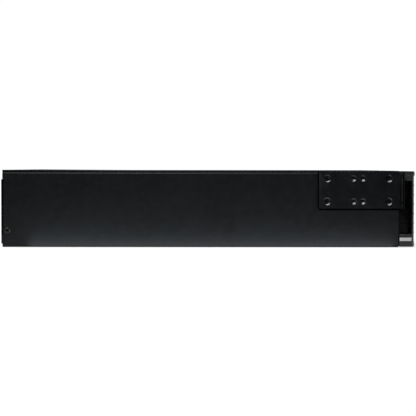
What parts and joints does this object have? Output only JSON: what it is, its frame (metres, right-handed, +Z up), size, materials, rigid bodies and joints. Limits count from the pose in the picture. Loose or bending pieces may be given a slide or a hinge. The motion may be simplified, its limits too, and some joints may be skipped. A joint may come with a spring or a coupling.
{
  "type": "rack-mount uninterruptible power supply",
  "caption": "Flat black rack-mount uninterruptible power supply with bolted rack ears, a pull-off front bezel, a sliding battery tray, a display with buttons, and a rear panel of outlets.",
  "frame": {"origin": "on the underside of the chassis tray, midway between its sides and midway between its front and rear edges", "axes": "+Z up, -Y towards the front bezel, X across the width"},
  "size_m": [0.4826, 0.4759, 0.0889],
  "materials": {
    "powder_coat": "fine textured black powder coat",
    "ear_coat": "smooth satin black powder coat",
    "zinc_sheet": "bare zinc-plated sheet",
    "black_screw": "black zinc-plated steel",
    "bright_screw": "bright zinc-plated steel",
    "bezel_plastic": "fine textured black plastic",
    "black_plastic": "moulded black plastic",
    "mesh_steel": "black coated perforated sheet",
    "silver_trim": "satin",
    "battery_case": "grey plastic",
    "tin": "tinned",
    "red_wire": "insulation",
    "black_wire": "insulation",
    "amber_plastic": "moulded",
    "white_plastic": "low-friction strip",
    "display_black": "glossy",
    "display_lens": "clear tinted",
    "lcd": "matt grey-green liquid crystal",
    "light_pipe": "translucent",
    "button_grey": "satin",
    "circuit_board": "solder mask",
    "brass": "plain",
    "heat_sink": "extruded",
    "semiconductor": "epoxy",
    "capacitor_sleeve": "shrink sleeve",
    "relay_blue": "moulded",
    "copper": "enamelled winding",
    "core_steel": "varnished laminations",
    "nickel": "nickel-plated",
    "red_button": "moulded"
  },
  "bodies": {
    "chassis": {"chassis_base": "powder_coat", "top_cover": "powder_coat", "rear_panel": "powder_coat", "front_frame": "zinc_sheet", "battery_bay": "zinc_sheet", "left_ear": "ear_coat", "right_ear": "ear_coat", "ear_screws": "black_screw", "side_screws": "black_screw", "cover_screws": "black_screw", "rear_screws": "black_screw", "bezel_rails": "black_plastic", "tray_glides": "white_plastic", "display_housing": "display_black", "display_lens": "display_lens", "lcd_panel": "lcd", "display_board": "circuit_board", "status_lights": "light_pipe", "chassis_connector": "amber_plastic", "main_board": "circuit_board", "board_standoffs": "brass", "heat_sinks": "heat_sink", "power_transistors": "semiconductor", "capacitors": "capacitor_sleeve", "relays": "relay_blue", "choke": "copper", "transformer_core": "core_steel", "transformer_winding": "copper", "transformer_bracket": "zinc_sheet", "wiring": "black_wire", "fan_frame": "black_plastic", "fan_guard": "bright_screw", "outlet_banks": "black_plastic", "outlet_contacts": "brass", "power_inlet": "black_plastic", "inlet_pins": "nickel", "breaker_body": "black_plastic", "comm_ports": "nickel", "slot_cover": "powder_coat", "earth_stud": "brass"},
    "bezel": {"bezel_frame": "bezel_plastic", "bezel_mesh": "mesh_steel", "bezel_clips": "black_plastic", "trim_strips": "silver_trim"},
    "battery_drawer": {"battery_tray": "zinc_sheet", "tray_front": "powder_coat", "batteries": "battery_case", "battery_terminals": "tin", "battery_links": "red_wire", "holddown_bar": "zinc_sheet", "tray_connector": "amber_plastic"},
    "tray_handle_body": {"tray_handle": "black_plastic"},
    "thumbscrew_left_body": {"thumbscrew_left": "bright_screw"},
    "thumbscrew_right_body": {"thumbscrew_right": "bright_screw"},
    "power_button_body": {"power_button": "button_grey"},
    "menu_left_body": {"menu_button_left": "button_grey"},
    "menu_middle_body": {"menu_button_middle": "button_grey"},
    "menu_right_body": {"menu_button_right": "button_grey"},
    "fan_rotor_body": {"fan_rotor": "black_plastic"},
    "breaker_button_body": {"breaker_button": "red_button"}
  },
  "joints": [
    {"name": "bezel_pull", "type": "slide", "parent": "chassis", "child": "bezel", "axis": [0, -1, 0], "range_m": [0, 0.3]},
    {"name": "battery_slide", "type": "slide", "parent": "chassis", "child": "battery_drawer", "axis": [0, -1, 0], "range_m": [0, 0.225]},
    {"name": "handle_fold", "type": "hinge", "parent": "battery_drawer", "child": "tray_handle_body", "pos_m": [-0.04675, -0.233, 0.05], "axis": [-1, 0, 0], "range_deg": [0, 90]},
    {"name": "thumbscrew_left_turn", "type": "hinge", "parent": "battery_drawer", "child": "thumbscrew_left_body", "pos_m": [-0.172, -0.23325, 0.062], "axis": [0, 1, 0], "continuous": true},
    {"name": "thumbscrew_right_turn", "type": "hinge", "parent": "battery_drawer", "child": "thumbscrew_right_body", "pos_m": [0.078, -0.23325, 0.062], "axis": [0, 1, 0], "continuous": true},
    {"name": "power_press", "type": "slide", "parent": "chassis", "child": "power_button_body", "axis": [0, 1, 0], "range_m": [0, 0.0015], "stiffness_N_per_m": 600},
    {"name": "menu_left_press", "type": "slide", "parent": "chassis", "child": "menu_left_body", "axis": [0, 1, 0], "range_m": [0, 0.001], "stiffness_N_per_m": 600},
    {"name": "menu_middle_press", "type": "slide", "parent": "chassis", "child": "menu_middle_body", "axis": [0, 1, 0], "range_m": [0, 0.001], "stiffness_N_per_m": 600},
    {"name": "menu_right_press", "type": "slide", "parent": "chassis", "child": "menu_right_body", "axis": [0, 1, 0], "range_m": [0, 0.001], "stiffness_N_per_m": 600},
    {"name": "fan_spin", "type": "hinge", "parent": "chassis", "child": "fan_rotor_body", "pos_m": [0.15, 0.21625, 0.041], "axis": [0, 1, 0], "continuous": true},
    {"name": "breaker_pop", "type": "slide", "parent": "chassis", "child": "breaker_button_body", "axis": [0, 1, 0], "range_m": [0, 0.004]}
  ],
  "couplings": [
    {"joint": "battery_slide", "follows": "bezel_pull", "ratio": 0.7333},
    {"joint": "handle_fold", "follows": "bezel_pull", "rad_per_m": 5.2333}
  ]
}
